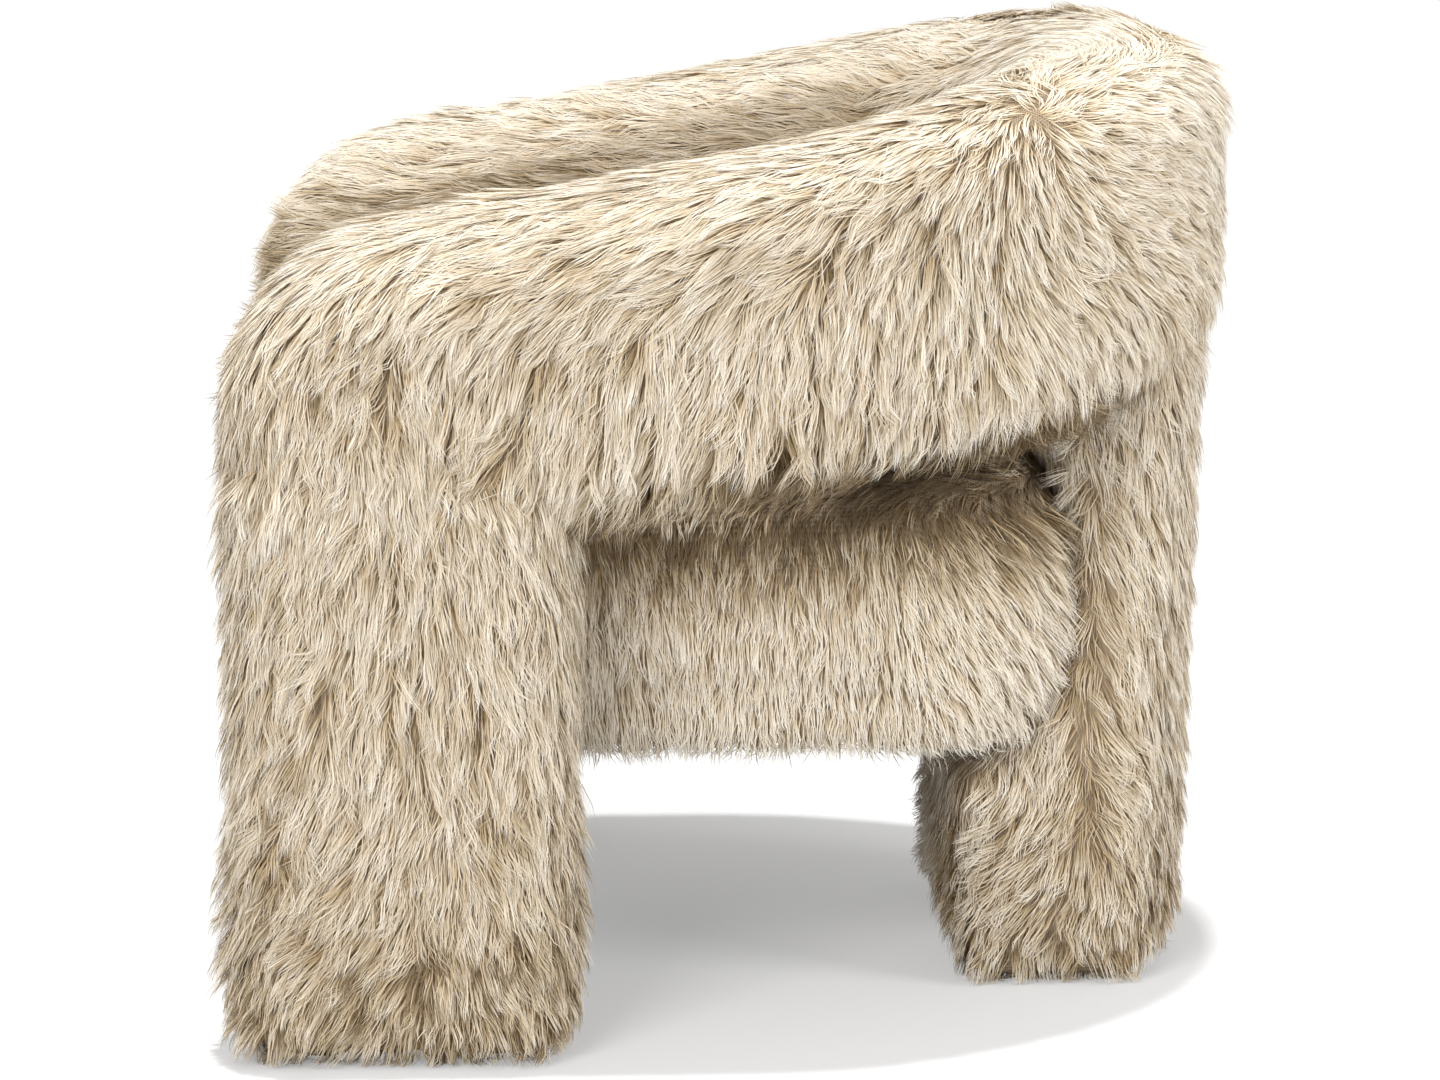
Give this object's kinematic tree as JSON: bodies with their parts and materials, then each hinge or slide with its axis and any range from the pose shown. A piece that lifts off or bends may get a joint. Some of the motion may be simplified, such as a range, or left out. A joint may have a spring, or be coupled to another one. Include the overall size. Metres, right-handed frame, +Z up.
{
  "type": "tub armchair",
  "caption": "Tub armchair: one rounded band makes arms and back on slab front legs and a block rear leg, around a thick drum seat, covered in long cream pile.",
  "frame": {"origin": "on the floor, under the middle of the chair's bounding box", "axes": "+Z up, the chair faces -Y, +X to the left of the person sitting"},
  "size_m": [0.76, 0.748, 0.716],
  "materials": {
    "pile_cover": "long cream pile on a knitted backing, undyed sheepskin look",
    "foam": "open-cell upholstery foam",
    "timber": "planed, unfinished",
    "plywood": "sanded birch plywood",
    "plated_steel": "bright zinc plating",
    "spring_steel": "oiled dark wire",
    "clip_plastic": "matte",
    "glide_plastic": "matte, slightly worn on the rim",
    "lining_cloth": "thin non-woven lining"
  },
  "bodies": {
    "root": {"arm_and_back_cover": "pile_cover", "arm_and_back_foam": "foam", "arm_and_back_top_rail": "timber", "arm_and_back_bottom_rail": "timber", "arm_front_posts": "timber", "arm_and_back_outer_panel": "plywood", "arm_and_back_inner_panel": "plywood", "arm_and_back_ribs": "plywood", "left_front_leg_cover": "pile_cover", "left_front_leg_foam": "foam", "left_front_leg_frame": "plywood", "left_front_leg_base": "plywood", "left_front_leg_glides": "glide_plastic", "right_front_leg_cover": "pile_cover", "right_front_leg_foam": "foam", "right_front_leg_frame": "plywood", "right_front_leg_base": "plywood", "right_front_leg_glides": "glide_plastic", "rear_leg_cover": "pile_cover", "rear_leg_foam": "foam", "rear_leg_frame": "plywood", "rear_leg_base": "plywood", "rear_leg_glides": "glide_plastic", "leg_top_blocks": "timber", "rail_screws": "plated_steel", "seat_cover": "pile_cover", "seat_cushion_foam": "foam", "seat_border_foam": "foam", "seat_frame": "timber", "seat_springs": "spring_steel", "seat_spring_clips": "clip_plastic", "seat_deck_cloth": "lining_cloth", "seat_dust_cover": "lining_cloth", "seat_side_bearers": "timber", "seat_rear_bearer": "timber", "seat_side_bolts": "plated_steel", "seat_rear_bolts": "plated_steel"}
  },
  "joints": []
}
